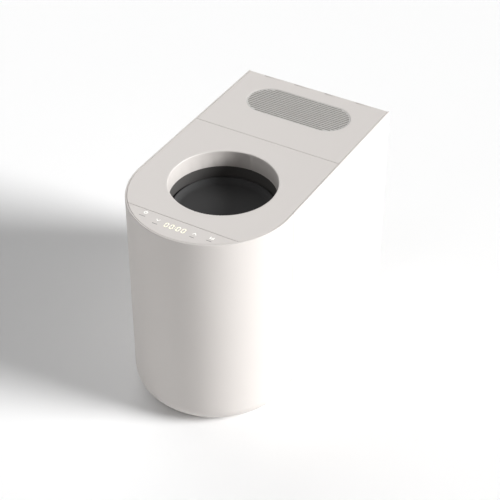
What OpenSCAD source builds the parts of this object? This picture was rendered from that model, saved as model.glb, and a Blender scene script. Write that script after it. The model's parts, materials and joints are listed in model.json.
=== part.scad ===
// Free-standing kitchen waste compactor. A round press plate goes down through the mouth in the
// top, driven by two power screws, and a drawer under it carries the bin. Millimetres, +Z up,
// +X to the right, the round front faces -Y, origin at the middle of the footprint on the floor.

/* [Body] */
// Width across the straight sides
body_w = 305; // [300:1:366]
// Depth from the round front to the flat back
body_d = 540; // [520:1:650]
// Height of the rim above the floor
body_h = 420; // [400:1:504]
// Thickness of the outer shells
shell_t = 3; // [2.5:0.25:3.6]
// Radius of the rounded bottom edge
base_round = 35; // [29:1:38]
// Radius of the rim's rounded outer edge
rim_round = 1.6; // [0.8:0.2:2]
// Gap between neighbouring outer pieces
seam = 0.9; // [0.5:0.1:1.2]
// Thickness of the top plates
deck_t = 3; // [2.5:0.25:3.6]
// Height of the rubber feet
foot_h = 4; // [3:0.5:5]
// Radius of a rubber foot
foot_r = 11; // [9:0.5:14]

/* [Seams] */
// Side seam behind the front arc's centre
side_seam = 14; // [8:1:20]
// Cross seam in the top behind the front arc's centre
deck_seam = 186; // [180:1:190]
// Control panel's straight edge ahead of the front arc's centre
panel_seam = 100; // [95:1:110]

/* [Mouth and press] */
// Radius of the mouth
mouth_r = 97; // [80:0.5:98]
// Mouth's centre behind the front arc's centre
mouth_back = 34.5; // [25:0.5:40]
// Radius of the mouth's top edge
mouth_round = 2; // [1:0.25:2.5]
// Depth of the light throat below the rim
throat_depth = 33; // [28:0.5:38]
// Depth of the parked press plate below the rim
plate_depth = 63; // [58:0.5:75]
// Radial room between the press plate and the chute
plate_gap = 4.5; // [4:0.25:6]
// Thickness of the press plate
plate_t = 5; // [4:0.5:6]
// Height of the press plate's upturned edge
plate_edge_h = 8; // [6:0.5:9]
// Tilt pivot below the plate's upper face
pivot_drop = 17; // [16:0.5:20]
// Tilt pivot behind the mouth's centre
pivot_back = 30; // [25:0.5:34]
// Travel of the press plate
ram_stroke = 125; // [100:1:130]
// Thickness of the chute wall
chute_t = 3; // [2:0.25:3.5]
// Radius of the tilt shaft
shaft_r = 8; // [6.5:0.25:8]

/* [Screw drive] */
// Power screws to either side of the middle
screw_x = 125; // [124:0.5:128]
// Power screws behind the tilt pivot
screw_back = 43; // [40:0.5:48]
// Guide rods ahead of the tilt pivot
rod_front = 43; // [40:0.5:48]
// Radius of a power screw
screw_r = 6; // [5:0.25:7]
// Radius of a guide rod
rod_r = 6; // [5:0.25:7]
// Height of the yoke
yoke_h = 30; // [28:1:32]
// Thickness of the yoke's side plates
yoke_t = 8; // [6:0.5:8]
// Pitch radius of the belt pulleys
pulley_r = 15; // [12:0.5:17]
// Width of a drive belt
belt_w = 8; // [6:0.5:9]
// Thickness of a drive belt
belt_t = 2; // [1.5:0.25:2.5]
// Motor shaft behind the middle of the body
motor_y = 132; // [128:1:136]

/* [Frame] */
// Thickness of the side frames
frame_t = 2.5; // [2:0.25:3]
// Thickness of the base plate
base_t = 3; // [2.5:0.25:4]
// Thickness of the cross decks
cross_t = 4; // [3:0.25:5]

/* [Drawer and bin] */
// Travel of the drawer
drawer_travel = 300; // [250:1:300]
// Height of the slides
slide_h = 46; // [40:1:50]
// Bottom of the slides above the floor
slide_z = 45; // [43:1:50]
// Length of a slide member
slide_len = 300; // [260:1:310]
// Height of the tray's floor
tray_z = 30; // [28:0.5:34]
// Thickness of the tray
tray_t = 2.5; // [2:0.25:3]
// Outer radius of the bin's wall
bin_r = 100; // [84:0.5:100.5]
// Thickness of the bin's wall
bin_t = 2; // [1.5:0.25:2.4]
// Bin's rim below the chute
bin_gap = 6; // [5:0.5:10]

/* [Rear cover and fan] */
// Width of the grille
grille_w = 212; // [175:1:220]
// Depth of the grille
grille_d = 88; // [72:1:90]
// Grille's centre ahead of the back
grille_front = 79.5; // [72:0.5:85]
// Pitch of the grille's slots
grille_pitch = 5.6; // [5:0.1:9]
// Width of the grille's slots
grille_slot = 2.6; // [1.8:0.1:3]
// Side of the exhaust fan
fan_w = 92; // [80:1:92]
// Radius of the cover's hinge knuckles
knuckle_r = 2.5; // [2:0.1:2.5]
// Radius of the hinge pin
pin_r = 1; // [0.8:0.05:1.2]

/* [Display] */
// Height of a digit
digit_h = 12; // [8:0.5:14]
// Width of a digit
digit_w = 6.6; // [5:0.2:8]
// Width of a lit stroke
stroke = 1.3; // [0.8:0.1:1.6]
// Radius of a touch symbol
symbol_r = 3.6; // [3:0.1:4]

/* [Hidden] */
$fn = 96;

// Clearances: running fit on the radius, free air between moving pieces, and a cut's overshoot
run = 0.05;
air = 0.4;
cut = 1;

// Outline of the body
hw = body_w/2;
back_y = body_d/2;
arc_y = -(body_d - body_w)/2;
in_w = hw - shell_t;
deck_w = in_w - seam;
deck_z = body_h - deck_t;
floor_z = foot_h;
base_top = floor_z + base_t;
round_z = floor_z + base_round;
flat_w = hw - base_round;
side_y = arc_y + side_seam;
cross_y = arc_y + deck_seam;
panel_y = arc_y - panel_seam;

// Mouth, press plate and chute
mouth_y = arc_y + mouth_back;
throat_z = body_h - throat_depth;
throat_t = 3.5;
plate_z = body_h - plate_depth;
chute_r = mouth_r + 1.5;
chute_o = chute_r + chute_t;
plate_r = chute_r - plate_gap;
pivot_z = plate_z - pivot_drop;
pivot_y = mouth_y + pivot_back;
hub_r = min(shaft_r + 5, pivot_drop - plate_t);
lug_x = plate_r - 29;
lug_t = 10;
slot_w = 2*shaft_r + 3;
chute_low = pivot_z - ram_stroke - hub_r + 2;
flange_t = 4;
flange_r = chute_o + 10;

// Cross decks, screws and rods
frame_x = in_w - frame_t;
top_frame_z = throat_z;
top_frame_top = top_frame_z + cross_t;
mid_top = pivot_z - ram_stroke - yoke_h/2 - 14;
mid_z = mid_top - cross_t;
frame_front = side_y + 3.5;
frame_back = back_y - 8;
frame_top = deck_z - 5;
screw_y = pivot_y + screw_back;
rod_y = pivot_y - rod_front;
bearing_r = screw_r + 5;
bearing_h = 8;
screw_low = mid_z - 28;
screw_high = top_frame_top + 6;

// Yoke round the chute
yoke_in = chute_o + 4.5;
yoke_out = yoke_in + yoke_t;
yoke_z = pivot_z - yoke_h/2;
yoke_top = pivot_z + yoke_h/2;
yoke_front = rod_y - 12;
yoke_back = mouth_y + chute_o + 5.5;
nut_r = screw_r + 3;
boss_r = screw_r + 6;
nut_flange = 4;
bush_r = rod_r + 2.5;
shaft_bush_r = shaft_r + 4;

// Tilt drive
wheel_x = yoke_out + 2;
wheel_t = 10;
wheel_r = 15.4;
wheel_teeth = 30;
worm_r = 5.5;
worm_y = pivot_y + wheel_r + worm_r + 0.5;
worm_x = wheel_x + wheel_t/2;
worm_shaft_r = 2.5;
tilt_motor_r = 10;
tilt_motor_z = yoke_top + 3;
tilt_motor_h = 28;

// Belt drive under the mid deck
flange_h = 1;
belt_step = belt_w + 2*air + flange_h;
belt_z = [mid_z - 5 - belt_w, mid_z - 5 - belt_w - belt_step];
pulley_flange_r = pulley_r + 3;
belt_in = pulley_r + 0.3;
motor_shaft_r = 6;
gear_w = 70;
gear_h = 54;
bracket_t = 3;
bracket_z = belt_z[1] - flange_h - 2 - bracket_t;
motor_r = 28;
motor_low = base_top + 33;

// Slides and drawer
slide_gap = 2;
slide_wall = 1.5;
slide_y = side_y + 3.5;
tray_w = frame_x - 16;
tray_top = tray_z + tray_t;
tray_back = mouth_y + bin_r + 5;
bin_top = chute_low - bin_gap;
bin_floor = 2.5;
rib_len = 18;
rib_h = 30;

// Rear cover, filter and fan
grille_y = back_y - grille_front;
hinge_y = back_y - knuckle_r;
hinge_z = body_h - knuckle_r;
knuckle_n = 9;
knuckle_len = (2*deck_w + air)/knuckle_n - air;
wall_top = body_h - 2*knuckle_r - air;
housing_w = grille_w/2 + 8;
housing_d = grille_d/2 + 6;
housing_top = deck_z - 13;
housing_low = housing_top - 64;
housing_t = 2.5;
fan_t = 25;
fan_low = housing_low - fan_t;
fan_bore = fan_w/2 - 3;
fan_shaft_r = 2.5;

// Back panel, inlet and switch
panel_inset = 0.5;
flange_y = 1.5;
screw_shank_r = 1.6;
panel_w = in_w - 10;
panel_low = round_z + 7;
panel_high = deck_z - 13;
recess_x = -60;
recess_z = round_z + 45;
recess_w = 72;
recess_h = 34;
recess_d = 16;
rocker_x = recess_x + 20;
rocker_y = back_y - recess_d + 2;
rocker_r = 7;
rocker_w = 11;
inlet_x = recess_x - 13;
inlet_w = 28;
inlet_h = 20;

// Display
digits_y = arc_y - 120.5;
digit_pitch = digit_w + 3.8;
time_shown = [0, 0, 0, 0];
SEGMENTS = [[1,1,1,1,1,1,0], [0,1,1,0,0,0,0], [1,1,0,1,1,0,1], [1,1,1,1,0,0,1], [0,1,1,0,0,1,1],
  [1,0,1,1,0,1,1], [1,0,1,1,1,1,1], [1,1,1,0,0,0,0], [1,1,1,1,1,1,1], [1,1,1,1,0,1,1]];
symbol_at = [[-67.5, -108], [-38, -116.5], [36.5, -118.5], [67.5, -113.5]];
label_at = [[-68.5, -118.5], [-37.8, -127], [36.2, -128], [66.5, -122.5]];
label_w = [12, 10, 9, 10];
label_t = 0.9;
light_low = deck_z - 6;

// ---------- shared shapes ----------

module block(x0, x1, y0, y1, z0, z1) {
  translate([x0, y0, z0]) cube([x1 - x0, y1 - y0, z1 - z0]);
}

module rod(x, y, z0, z1, r) {
  translate([x, y, z0]) cylinder(r = r, h = z1 - z0);
}

module ring(x, y, z0, z1, r_out, r_in) {
  translate([x, y, z0]) difference() {
    cylinder(r = r_out, h = z1 - z0);
    translate([0, 0, -cut]) cylinder(r = r_in, h = z1 - z0 + 2*cut);
  }
}

module both_sides() {
  children();
  mirror([1, 0, 0]) children();
}

// Body outline at half width r, between two depths
module plan(r, y0, y1) {
  intersection() {
    union() {
      translate([0, arc_y]) circle(r, $fn = 180);
      translate([-r, arc_y]) square([2*r, body_d]);
    }
    translate([-hw, y0]) square([body_w, y1 - y0]);
  }
}

// Section of one wall of the shells: rounded bottom edge, upright wall, rounded rim
module wall_section() {
  difference() {
    translate([flat_w, round_z]) circle(base_round);
    translate([flat_w, round_z]) circle(base_round - shell_t);
    translate([flat_w - 2*base_round, floor_z - cut]) square([2*base_round, body_h]);
    translate([flat_w - cut, round_z]) square([2*base_round, body_h]);
  }
  translate([in_w, round_z]) square([shell_t, body_h - rim_round - round_z]);
  translate([in_w, body_h - rim_round - cut]) square([shell_t - rim_round, rim_round + cut]);
  translate([hw - rim_round, body_h - rim_round]) circle(rim_round, $fn = 32);
}

// Quarter of the rounded bottom edge on its own, and the wall on its own
module edge_quarter(r) {
  intersection() {
    circle(r);
    translate([0, -r]) square([r, r]);
  }
}

// Long slot outline with round ends
module stadium(w, d) {
  square([w - d, d], center = true);
  for (s = [-1, 1]) translate([s*(w - d)/2, 0]) circle(d/2);
}

module pulley(x, y, z0) {
  rod(x, y, z0 - air, z0 + belt_w + air, pulley_r);
  rod(x, y, z0 - air - flange_h, z0 - air, pulley_flange_r);
  rod(x, y, z0 + belt_w + air, z0 + belt_w + air + flange_h, pulley_flange_r);
}

// ---------- frame ----------

module base_plate() {
  color("silver") translate([0, 0, floor_z]) linear_extrude(base_t) difference() {
    plan(flat_w - seam, arc_y - hw, back_y - base_round - seam);
    for (y = [-30, 40, 110]) translate([0, y]) stadium(120, 20);
  }
}

foot_at = [[flat_w - 22, back_y - base_round - 22], [flat_w - 45, arc_y - 48]];

module rubber_feet() {
  color("dimgray") both_sides() for (p = foot_at) translate([p[0], p[1], 0]) difference() {
    cylinder(r = foot_r, h = foot_h);
    translate([0, 0, -cut]) cylinder(r = 3, h = cut + foot_h/3);
  }
}

base_screw_y = [frame_front + 20, 20, 120, back_y - base_round - 45];

module base_screws() {
  color("gray") both_sides() for (y = base_screw_y) {
    rod(flat_w - 10, y, floor_z - 1.8, floor_z, 3.6);
  }
}

// Side frame: upright plate, knee along the rounded edge and a foot flange on the base plate
module side_frame() {
  knee = round_z + 3;
  foot_x = in_w - (knee - base_top);
  k = frame_t*(sqrt(2) - 1);
  difference() {
    intersection() {
      rotate([90, 0, 0]) translate([0, 0, -frame_back]) linear_extrude(frame_back - frame_front)
        polygon([[in_w, frame_top], [in_w, knee], [foot_x, base_top], [foot_x - 14, base_top],
          [foot_x - 14, base_top + frame_t], [foot_x - k, base_top + frame_t],
          [frame_x, knee + k], [frame_x, frame_top]]);
      rotate([90, 0, 90]) linear_extrude(body_w) polygon([[frame_front, 0],
        [back_y - base_round - 6, 0], [frame_back, knee], [frame_back, frame_top],
        [frame_front, frame_top]]);
    }
    block(frame_x - cut, in_w + cut, screw_y + 35, frame_back - 45, mid_top + 25, housing_low - 20);
    block(frame_x - cut, in_w + cut, screw_y + 35, frame_back - 45, slide_z + slide_h + 15,
      mid_z - 20);
  }
}

module side_frame_right() { color("lightgray") side_frame(); }
module side_frame_left() { color("lightgray") mirror([1, 0, 0]) side_frame(); }

module mid_deck() {
  bin_way = bin_r + 4.5;
  color("silver") difference() {
    block(-frame_x, frame_x, frame_front, motor_y + 40, mid_z, mid_top);
    rod(0, mouth_y, mid_z - cut, mid_top + cut, bin_way);
    block(-bin_way, bin_way, arc_y - hw, mouth_y, mid_z - cut, mid_top + cut);
    both_sides() {
      rod(screw_x, screw_y, mid_z - cut, mid_top + cut, bearing_r);
      rod(screw_x, rod_y, mid_z - cut, mid_top + cut, rod_r);
    }
    rod(0, motor_y, mid_z - cut, mid_top + cut, motor_shaft_r + run);
  }
}

module top_frame() {
  color("silver") difference() {
    translate([0, 0, top_frame_z]) linear_extrude(cross_t) difference() {
      union() {
        plan(deck_w - 2.5, panel_y - 10, frame_front - 2);
        translate([-frame_x, frame_front]) square([2*frame_x, cross_y + 22 - frame_front]);
        translate([-frame_x + 4, frame_front - 4]) square([2*frame_x - 8, 8]);
      }
      translate([0, mouth_y]) circle(chute_o + 0.7);
    }
    both_sides() {
      rod(screw_x, screw_y, top_frame_z - cut, top_frame_top + cut, bearing_r);
      rod(screw_x, rod_y, top_frame_z - cut, top_frame_top + cut, rod_r);
    }
  }
}

module press_chute() {
  color("dimgray") difference() {
    union() {
      ring(0, mouth_y, chute_low, throat_z, chute_o, chute_r);
      ring(0, mouth_y, top_frame_z - flange_t, top_frame_z, flange_r, chute_r);
    }
    block(-flange_r, flange_r, pivot_y - slot_w/2, pivot_y + slot_w/2, chute_low - cut, pivot_z);
    translate([-flange_r, pivot_y, pivot_z]) rotate([0, 90, 0]) cylinder(r = slot_w/2, h = 2*flange_r);
  }
}

module guide_rods() {
  color("gainsboro") both_sides() rod(screw_x, rod_y, mid_z - 2, top_frame_top + 2, rod_r);
}

module screw_bearings() {
  color("gray") both_sides() for (z = [mid_z - 2, top_frame_z - 2]) {
    ring(screw_x, screw_y, z, z + bearing_h, bearing_r, screw_r + run);
  }
}

// ---------- screw drive ----------

module power_screw() {
  color("gainsboro") difference() {
    rod(screw_x, screw_y, screw_low, screw_high, screw_r);
    block(screw_x - 0.6, screw_x + 0.6, screw_y - screw_r, screw_y + screw_r,
      screw_high - 1.5, screw_high + cut);
  }
}

module power_screw_right() { power_screw(); }
module power_screw_left() { mirror([1, 0, 0]) power_screw(); }

module screw_pulley(level) {
  color("dimgray") difference() {
    pulley(screw_x, screw_y, belt_z[level]);
    rod(screw_x, screw_y, belt_z[level] - 3, belt_z[level] + belt_w + 3, screw_r);
  }
}

module screw_pulley_right() { screw_pulley(0); }
module screw_pulley_left() { mirror([1, 0, 0]) screw_pulley(1); }

module motor_pulley() {
  color("dimgray") difference() {
    union() for (z = belt_z) pulley(0, motor_y, z);
    rod(0, motor_y, belt_z[1] - 3, belt_z[0] + belt_w + 3, motor_shaft_r);
  }
}

module drive_belts() {
  span = sqrt(pow(screw_x, 2) + pow(screw_y - motor_y, 2));
  color("black") for (level = [0, 1]) {
    angle = atan2(screw_y - motor_y, (1 - 2*level)*screw_x);
    translate([0, motor_y, belt_z[level]]) rotate([0, 0, angle]) translate([span/2, 0, 0])
      linear_extrude(belt_w) difference() {
        stadium(span + 2*(belt_in + belt_t), 2*(belt_in + belt_t));
        stadium(span + 2*belt_in, 2*belt_in);
      }
  }
}

module motor_bracket() {
  color("silver") {
    difference() {
      block(-gear_w/2 - 3, gear_w/2 + 3, motor_y - gear_w/2, motor_y + 39, bracket_z,
        bracket_z + bracket_t);
      rod(0, motor_y, bracket_z - cut, bracket_z + bracket_t + cut, motor_shaft_r + 3);
    }
    block(-gear_w/2 - 3, gear_w/2 + 3, motor_y + 36, motor_y + 39, bracket_z, mid_z);
  }
}

module gearbox() {
  color("darkgray") {
    block(-gear_w/2, gear_w/2, motor_y - gear_w/2, motor_y + gear_w/2 - 3, bracket_z - gear_h,
      bracket_z);
    rod(0, motor_y, bracket_z, bracket_z + 2, motor_shaft_r + 2.5);
  }
}

module output_shaft() {
  color("gainsboro") rod(0, motor_y, bracket_z + 2 + air, mid_top + 1, motor_shaft_r);
}

module drive_motor() {
  color("gray") {
    rod(0, motor_y, motor_low, bracket_z - gear_h, motor_r);
    rod(0, motor_y, motor_low - 8, motor_low, motor_r*0.4);
    for (s = [-1, 1]) block(s*14 - 2.5, s*14 + 2.5, motor_y - 2, motor_y + 2, motor_low - 7, motor_low);
  }
}

// ---------- ram ----------

module ram_yoke() {
  color("slategray") difference() {
    union() {
      both_sides() {
        block(yoke_in, yoke_out, yoke_front, yoke_back + yoke_t, yoke_z, yoke_top);
        rod(screw_x, screw_y, yoke_z, yoke_top, boss_r);
        block(yoke_in, screw_x, screw_y - boss_r, screw_y + boss_r, yoke_z, yoke_top);
        rod(screw_x, rod_y, yoke_z, yoke_top, bush_r + 3);
        block(yoke_in, screw_x, rod_y - bush_r - 3, rod_y + bush_r + 3, yoke_z, yoke_top);
      }
      block(-yoke_out, yoke_out, yoke_back, yoke_back + yoke_t, yoke_z, yoke_top);
      block(yoke_in, worm_x + 12, worm_y - 11, worm_y + 9, yoke_top, tilt_motor_z);
    }
    both_sides() {
      rod(screw_x, screw_y, yoke_z - cut, yoke_top + cut, nut_r);
      rod(screw_x, rod_y, yoke_z - cut, yoke_top + cut, bush_r);
      translate([yoke_in - cut, pivot_y, pivot_z]) rotate([0, 90, 0])
        cylinder(r = shaft_bush_r, h = yoke_t + 2*cut);
    }
    rod(worm_x, worm_y, yoke_top - cut, tilt_motor_z + cut, worm_shaft_r + 1.5);
  }
}

module screw_nuts() {
  color("goldenrod") both_sides() difference() {
    union() {
      rod(screw_x, screw_y, yoke_z, yoke_top, nut_r);
      rod(screw_x, screw_y, yoke_z - nut_flange, yoke_z, boss_r);
    }
    rod(screw_x, screw_y, yoke_z - nut_flange - cut, yoke_top + cut, screw_r + run);
  }
}

module guide_bushes() {
  color("goldenrod") both_sides() ring(screw_x, rod_y, yoke_z, yoke_top, bush_r, rod_r + run);
}

module shaft_bearings() {
  color("goldenrod") both_sides() translate([yoke_in, pivot_y, pivot_z]) rotate([0, 90, 0])
    difference() {
      cylinder(r = shaft_bush_r, h = yoke_t);
      translate([0, 0, -cut]) cylinder(r = shaft_r + run, h = yoke_t + 2*cut);
    }
}

module tilt_motor() {
  color("gray") difference() {
    union() {
      rod(worm_x, worm_y, tilt_motor_z, tilt_motor_z + tilt_motor_h - 3, tilt_motor_r);
      rod(worm_x, worm_y, tilt_motor_z + tilt_motor_h - 3, tilt_motor_z + tilt_motor_h, 4);
    }
    rod(worm_x, worm_y, tilt_motor_z - cut, tilt_motor_z + 6, worm_shaft_r + run);
  }
}

module tilt_worm() {
  color("gainsboro") {
    rod(worm_x, worm_y, yoke_z - 2, yoke_top - 2, worm_r - 1.2);
    rod(worm_x, worm_y, yoke_top - 2, tilt_motor_z + 5, worm_shaft_r);
  }
}

module tilt_shaft() {
  color("gainsboro") translate([-yoke_out - 3, pivot_y, pivot_z]) rotate([0, 90, 0])
    cylinder(r = shaft_r, h = wheel_x + wheel_t + 2 + yoke_out + 3);
}

module worm_wheel() {
  root = wheel_r - 2;
  color("goldenrod") translate([wheel_x, pivot_y, pivot_z]) rotate([0, 90, 0]) difference() {
    linear_extrude(wheel_t) union() {
      circle(root);
      for (i = [0:wheel_teeth - 1]) rotate(i*360/wheel_teeth)
        polygon([[root - 1, -1.2], [wheel_r, -0.55], [wheel_r, 0.55], [root - 1, 1.2]]);
    }
    translate([0, 0, -cut]) cylinder(r = shaft_r, h = wheel_t + 2*cut);
  }
}

// Cast carrier under the plate: two lugs on the shaft, ribs to the front and the back
module plate_carrier() {
  low = plate_z - plate_t;
  rib_low = low - 7;
  color("slategray") difference() {
    union() {
      both_sides() {
        block(lug_x, lug_x + lug_t, pivot_y - hub_r, pivot_y + hub_r, pivot_z, low);
        translate([lug_x, pivot_y, pivot_z]) rotate([0, 90, 0]) cylinder(r = hub_r, h = lug_t);
        block(lug_x + 2, lug_x + 7, mouth_y - plate_r*0.6, mouth_y + plate_r*0.6, rib_low, low);
      }
      block(-2.5, 2.5, mouth_y - plate_r*0.85, mouth_y + plate_r*0.85, rib_low, low);
      for (y = [mouth_y - plate_r*0.55, pivot_y - hub_r - 5, pivot_y + hub_r])
        block(-lug_x - 2, lug_x + 2, y, y + 5, rib_low, low);
    }
    translate([-plate_r, pivot_y, pivot_z]) rotate([0, 90, 0]) cylinder(r = shaft_r, h = 2*plate_r);
  }
}

// Dished press plate with a hollow curve from its floor into the upturned edge
module press_plate() {
  edge_t = 1.6;
  curve = 1.5*plate_edge_h;
  curve_r = plate_r - edge_t - sqrt(curve^2 - (curve - plate_edge_h)^2);
  color([0.2, 0.2, 0.2]) translate([0, mouth_y, plate_z]) rotate_extrude($fn = 180) {
    difference() {
      union() {
        translate([0, -plate_t]) square([plate_r - 3, plate_t]);
        translate([plate_r - 3, -plate_t + 3]) circle(3, $fn = 32);
        translate([plate_r - 3, -plate_t + 3]) square([3, plate_t - 3]);
        translate([curve_r, 0]) square([plate_r - curve_r, plate_edge_h]);
        translate([plate_r - 4, -plate_t + 3]) square([1, 1]);
      }
      translate([curve_r, curve]) circle(curve, $fn = 64);
    }
  }
}

// ---------- drawer ----------

// Channel of one slide member: web at x_web, lips towards the middle of the machine
module channel(x_web, x_lip, z0, z1) {
  translate([0, slide_y, 0]) {
    block(x_web, x_web + slide_wall, 0, slide_len, z0, z1);
    block(x_lip, x_web, 0, slide_len, z0, z0 + slide_wall);
    block(x_lip, x_web, 0, slide_len, z1 - slide_wall, z1);
  }
}

slide_step = slide_wall + slide_gap;
slide_in = frame_x - 16;

module slide_outers() {
  color("gainsboro") both_sides()
    channel(frame_x - slide_wall, slide_in + 4, slide_z, slide_z + slide_h);
}

module slide_middles() {
  color("lightgray") both_sides() {
    channel(frame_x - slide_wall - slide_step, slide_in + 3, slide_z + slide_step,
      slide_z + slide_h - slide_step);
    for (z = [slide_z + slide_wall + air, slide_z + slide_h - slide_step])
      block(slide_in + 6, slide_in + 10, slide_y + 20, slide_y + 110, z, z + slide_gap - air);
  }
}

module slide_inners() {
  color("gainsboro") both_sides() translate([0, slide_y, 0]) {
    z0 = slide_z + 2*slide_step;
    z1 = slide_z + slide_h - 2*slide_step;
    block(slide_in, slide_in + slide_wall, 0, slide_len, z0, z1);
    block(slide_in, slide_in + 9, 0, slide_len, z0, z0 + slide_wall);
    block(slide_in, slide_in + 9, 0, slide_len, z1 - slide_wall, z1);
  }
}

module drawer_front() {
  wall_y = side_y - seam/2;
  color("whitesmoke") {
    translate([0, arc_y, 0]) rotate([0, 0, 180]) rotate_extrude(angle = 180, $fn = 180) wall_section();
    both_sides() translate([0, wall_y, 0]) rotate([90, 0, 0]) linear_extrude(wall_y - arc_y)
      wall_section();
    for (a = [-80, -40, 0, 40, 80]) translate([0, arc_y, 0]) rotate([0, 0, a - 90])
      block(in_w - rib_len, in_w + shell_t/3, -2, 2, tray_top, tray_top + rib_h);
  }
}

module drawer_tray() {
  color("silver") {
    difference() {
      translate([0, 0, tray_z]) linear_extrude(tray_t) union() {
        intersection() {
          translate([0, arc_y]) circle(in_w - 4, $fn = 180);
          translate([-hw, arc_y - hw]) square([body_w, hw]);
        }
        translate([-in_w + 4, arc_y - cut]) square([2*in_w - 8, side_y - 1 - arc_y + cut]);
        translate([-tray_w, side_y - 2]) square([2*tray_w, tray_back - side_y + 2]);
      }
      rod(0, mouth_y, tray_z - cut, tray_top + cut, bin_r*0.55);
    }
    both_sides() block(tray_w - tray_t, tray_w, slide_y, tray_back, tray_top, slide_z + slide_h);
    ring(0, mouth_y, tray_top, tray_top + 5, bin_r + 3, bin_r + 1);
  }
}

// Round bin with a thick rim and two finger slots under it
module waste_bin() {
  rim_w = 3;
  h = bin_top - tray_top;
  color("gray") translate([0, mouth_y, tray_top]) difference() {
    union() {
      rod(0, 0, 0, h, bin_r);
      rod(0, 0, h - 4, h, bin_r + rim_w);
    }
    translate([0, 0, bin_floor]) cylinder(r = bin_r - bin_t, h = h);
    translate([-2*bin_r, 0, h - 22]) rotate([90, 0, 90]) linear_extrude(4*bin_r) stadium(70, 18);
  }
}

module magnet_catches() {
  color("dimgray") both_sides() {
    block(frame_x - 9, frame_x, frame_front - 3, frame_front + 12, mid_top + 95, mid_top + 125);
  }
}

module strike_plates() {
  y1 = frame_front - 3 - air;
  color("gainsboro") both_sides() {
    block(frame_x - 9, in_w, y1 - 3, y1, mid_top + 95, mid_top + 125);
  }
}

module limit_switches() {
  color("black") for (z = [yoke_z - ram_stroke - 8, yoke_top + 2]) {
    block(frame_x - 8, frame_x, pivot_y - 10, pivot_y + 10, z, z + 10);
    block(frame_x - 10, frame_x - 8, pivot_y - 8, pivot_y - 4, z + 3, z + 7);
  }
}

// ---------- top ----------

module top_deck() {
  edge_r = mouth_r + mouth_round;
  collar_r = mouth_r + throat_t;
  color("whitesmoke") {
    translate([0, 0, deck_z]) linear_extrude(deck_t) difference() {
      plan(deck_w, panel_y + seam/2, cross_y - seam/2);
      translate([0, mouth_y]) circle(collar_r - 0.5, $fn = 180);
    }
    translate([0, mouth_y, 0]) rotate_extrude($fn = 180) {
      translate([mouth_r, throat_z]) square([throat_t, body_h - mouth_round - throat_z]);
      translate([edge_r, body_h - mouth_round - cut]) square([throat_t - mouth_round, mouth_round + cut]);
      translate([edge_r, body_h - mouth_round]) circle(mouth_round, $fn = 32);
    }
    both_sides() for (p = [[120, -150], [128, 45], [40, 50]])
      rod(p[0], p[1], top_frame_top, deck_z, 5);
    rod(0, panel_y + 6, top_frame_top, deck_z, 5);
  }
}

// One digit's lit strokes, as boxes between two heights
module digit(n, z0, z1) {
  s = SEGMENTS[n];
  w = digit_w - 2*stroke;
  h = digit_h/2 - 1.5*stroke;
  g = 0.35;
  for (i = [0:6]) if (s[i] == 1) {
    flat = (i == 0 || i == 3 || i == 6);
    x = flat ? stroke : (i == 1 || i == 2) ? digit_w - stroke : 0;
    y = i == 0 ? digit_h - stroke : i == 3 ? 0 : i == 6 ? digit_h/2 - stroke/2
      : (i == 1 || i == 5) ? digit_h/2 + stroke/2 : stroke;
    if (flat) block(x + g/2, x + w - g/2, y, y + stroke, z0, z1);
    else block(x, x + stroke, y + g/2, y + h - g/2, z0, z1);
  }
}

module digit_strokes(z0, z1) {
  total = 4*digit_pitch + 1;
  translate([-total/2, digits_y - digit_h/2, 0]) {
    for (i = [0:3]) translate([i*digit_pitch + (i > 1 ? 2.5 : 0), 0, 0]) digit(time_shown[i], z0, z1);
    for (f = [0.3, 0.7]) translate([2*digit_pitch - 1.1, f*digit_h - stroke/2, 0])
      block(0, stroke, 0, stroke, z0, z1);
  }
}

// Touch symbols: on and off, press, release and drawer
module symbol(i, z0, z1) {
  r = symbol_r;
  if (i == 0) {
    difference() {
      ring(0, 0, z0, z1, r, r - 1);
      block(-1.3, 1.3, 0, r + 1, z0 - cut, z1 + cut);
    }
    block(-0.5, 0.5, 0.4, r + 0.6, z0, z1);
  }
  if (i == 1) translate([0, 0, z0]) linear_extrude(z1 - z0)
    polygon([[-r, r*0.5], [0, -r*0.6], [r, r*0.5], [r, r*0.5 + 1.5], [0, -r*0.6 + 1.7],
      [-r, r*0.5 + 1.5]]);
  if (i == 2) translate([0, 0, z0]) linear_extrude(z1 - z0)
    polygon([[-r, -r*0.7], [0, r*0.5], [r, -r*0.7], [r, -r*0.7 + 1.5], [0, r*0.5 + 1.7],
      [-r, -r*0.7 + 1.5]]);
  if (i == 3) {
    difference() {
      block(-r, r, -r*0.8, r*0.8, z0, z1);
      block(-r + 1, r - 1, -r*0.8 + 1, r + 1, z0 - cut, z1 + cut);
    }
    block(-1.6, 1.6, -0.3, 0.8, z0, z1);
  }
}

module symbols(z0, z1) {
  for (i = [0:3]) translate([symbol_at[i][0], arc_y + symbol_at[i][1], 0]) symbol(i, z0, z1);
}

module labels(z0, z1) {
  for (i = [0:3]) translate([label_at[i][0], arc_y + label_at[i][1], 0])
    block(-label_w[i]/2, label_w[i]/2, -label_t/2, label_t/2, z0, z1);
}

module control_panel() {
  color("whitesmoke") difference() {
    translate([0, 0, deck_z]) linear_extrude(deck_t)
      plan(deck_w, arc_y - hw, panel_y - seam/2);
    digit_strokes(deck_z - cut, body_h + cut);
    symbols(deck_z - cut, body_h + cut);
    labels(body_h - 0.6, body_h + cut);
  }
}

module display_digits() { color("lightyellow") digit_strokes(light_low, body_h); }
module touch_symbols() { color("white") symbols(light_low, body_h); }
module symbol_labels() { color("dimgray") labels(body_h - 0.6, body_h); }

module display_board() {
  color("darkgreen") {
    block(-72, 72, panel_y - 27, panel_y - 2, light_low - 1.6, light_low);
    both_sides() block(60, 66, panel_y - 10, panel_y - 4, top_frame_top, light_low - 1.6);
    block(-14, 14, panel_y - 22, panel_y - 8, light_low - 5, light_low - 1.6);
  }
}

// ---------- rear cover, filter, fan ----------

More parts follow.
